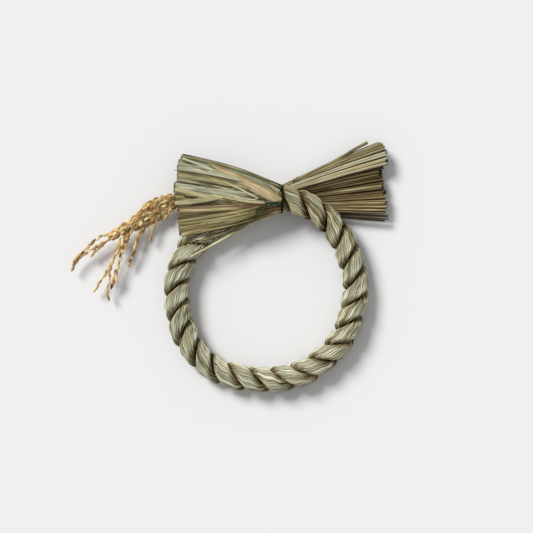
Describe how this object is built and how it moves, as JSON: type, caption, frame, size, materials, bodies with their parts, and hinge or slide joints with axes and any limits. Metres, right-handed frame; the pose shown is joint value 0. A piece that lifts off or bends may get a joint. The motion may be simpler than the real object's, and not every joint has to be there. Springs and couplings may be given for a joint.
{
  "type": "straw ornament",
  "caption": "Ring of two-strand rice straw rope, tied at the top with dark green thread, its ends flared into two fans, with a bunch of rice ears at the left.",
  "frame": {"origin": "on the surface that the ring lies on, under the middle of the outline's box", "axes": "+X to the right as the picture shows it, +Y to the top of the ring, +Z away from the surface, towards the front"},
  "size_m": [0.3196, 0.2518, 0.0335],
  "materials": {
    "rope_straw": "dry greenish beige straw, finely streaked, satin",
    "leaf_straw": "flat dry leaves, grey green to khaki and tan, satin",
    "stem_straw": "round dry stems, khaki to brown, satin",
    "thread": "dark green cotton thread, matte",
    "rice_ear": "golden tan rice husks, matte with a slight sheen"
  },
  "bodies": {
    "root": {"rope_strand_1": "rope_straw", "rope_strand_2": "rope_straw", "left_fan": "leaf_straw", "right_fan": "stem_straw", "binding_thread": "thread", "loose_straw": "rope_straw", "rice_ear_1": "rice_ear", "rice_ear_2": "rice_ear", "rice_ear_3": "rice_ear"}
  },
  "joints": []
}
